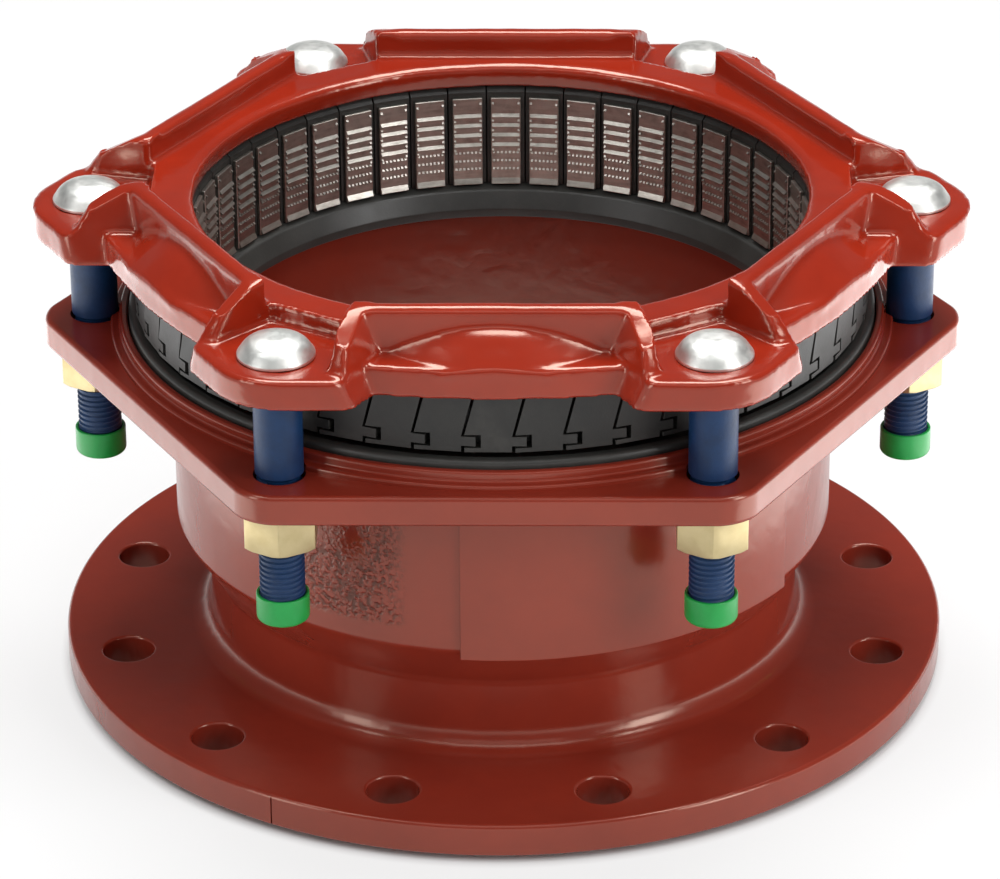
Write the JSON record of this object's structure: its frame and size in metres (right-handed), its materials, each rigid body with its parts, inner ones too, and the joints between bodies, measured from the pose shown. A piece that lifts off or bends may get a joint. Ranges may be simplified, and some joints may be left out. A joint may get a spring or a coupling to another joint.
{
  "type": "flange adapter",
  "caption": "Restrained pipe adapter: drilled flange and socket body, clamp ring drawn down by bolts, gasket and toothed grip links.",
  "frame": {"origin": "centre of the flange's sealing face, on the pipe axis", "axes": "+Z along the pipe axis from the flange to the open socket, +X through a bolt, -Y through the middle of a ring side"},
  "size_m": [0.4148, 0.4, 0.2403],
  "materials": {
    "body_paint": "dark red epoxy coating, semi-gloss",
    "ring_paint": "bright red epoxy coating, thick and glossy",
    "rubber": "smooth black rubber",
    "link_plastic": "moulded black plastic",
    "plate_steel": "serrated stainless steel",
    "bolt_steel": "blue low-friction coating, bright zinc on the head",
    "nut_zinc": "yellow passivated zinc",
    "cap_plastic": "green soft plastic"
  },
  "bodies": {
    "socket": {"socket_body": "body_paint", "gasket": "rubber"},
    "clamp": {"clamp_ring": "ring_paint", "gripper_links": "link_plastic", "gripper_plates": "plate_steel", "bolt_1": "bolt_steel", "bolt_2": "bolt_steel", "bolt_3": "bolt_steel", "bolt_4": "bolt_steel", "bolt_5": "bolt_steel", "bolt_6": "bolt_steel"},
    "nut_1": {"nut_1": "nut_zinc"},
    "cap_1": {"thread_cap_1": "cap_plastic"},
    "nut_2": {"nut_2": "nut_zinc"},
    "cap_2": {"thread_cap_2": "cap_plastic"},
    "nut_3": {"nut_3": "nut_zinc"},
    "cap_3": {"thread_cap_3": "cap_plastic"},
    "nut_4": {"nut_4": "nut_zinc"},
    "cap_4": {"thread_cap_4": "cap_plastic"},
    "nut_5": {"nut_5": "nut_zinc"},
    "cap_5": {"thread_cap_5": "cap_plastic"},
    "nut_6": {"nut_6": "nut_zinc"},
    "cap_6": {"thread_cap_6": "cap_plastic"}
  },
  "joints": [
    {"name": "clamp_draw", "type": "slide", "parent": "socket", "child": "clamp", "axis": [0, 0, -1], "range_m": [0, 0.01], "deforming": ["gasket"]},
    {"name": "nut_1_turn", "type": "hinge", "parent": "socket", "child": "nut_1", "pos_m": [-0.091, -0.15762, 0.142], "axis": [0, 0, 1], "range_deg": [0, 1440]},
    {"name": "nut_2_turn", "type": "hinge", "parent": "socket", "child": "nut_2", "pos_m": [0.091, -0.15762, 0.142], "axis": [0, 0, 1], "range_deg": [0, 1440]},
    {"name": "nut_3_turn", "type": "hinge", "parent": "socket", "child": "nut_3", "pos_m": [0.182, 0, 0.142], "axis": [0, 0, 1], "range_deg": [0, 1440]},
    {"name": "nut_4_turn", "type": "hinge", "parent": "socket", "child": "nut_4", "pos_m": [0.091, 0.15762, 0.142], "axis": [0, 0, 1], "range_deg": [0, 1440]},
    {"name": "nut_5_turn", "type": "hinge", "parent": "socket", "child": "nut_5", "pos_m": [-0.091, 0.15762, 0.142], "axis": [0, 0, 1], "range_deg": [0, 1440]},
    {"name": "nut_6_turn", "type": "hinge", "parent": "socket", "child": "nut_6", "pos_m": [-0.182, 0, 0.142], "axis": [0, 0, 1], "range_deg": [0, 1440]},
    {"name": "cap_1_pull", "type": "slide", "parent": "clamp", "child": "cap_1", "axis": [0, 0, -1], "range_m": [0, 0.012]},
    {"name": "cap_2_pull", "type": "slide", "parent": "clamp", "child": "cap_2", "axis": [0, 0, -1], "range_m": [0, 0.012]},
    {"name": "cap_3_pull", "type": "slide", "parent": "clamp", "child": "cap_3", "axis": [0, 0, -1], "range_m": [0, 0.012]},
    {"name": "cap_4_pull", "type": "slide", "parent": "clamp", "child": "cap_4", "axis": [0, 0, -1], "range_m": [0, 0.012]},
    {"name": "cap_5_pull", "type": "slide", "parent": "clamp", "child": "cap_5", "axis": [0, 0, -1], "range_m": [0, 0.012]},
    {"name": "cap_6_pull", "type": "slide", "parent": "clamp", "child": "cap_6", "axis": [0, 0, -1], "range_m": [0, 0.012]}
  ],
  "couplings": [
    {"joint": "nut_1_turn", "follows": "clamp_draw", "rad_per_m": 2513.3},
    {"joint": "nut_2_turn", "follows": "clamp_draw", "rad_per_m": 2513.3},
    {"joint": "nut_3_turn", "follows": "clamp_draw", "rad_per_m": 2513.3},
    {"joint": "nut_4_turn", "follows": "clamp_draw", "rad_per_m": 2513.3},
    {"joint": "nut_5_turn", "follows": "clamp_draw", "rad_per_m": 2513.3},
    {"joint": "nut_6_turn", "follows": "clamp_draw", "rad_per_m": 2513.3}
  ]
}
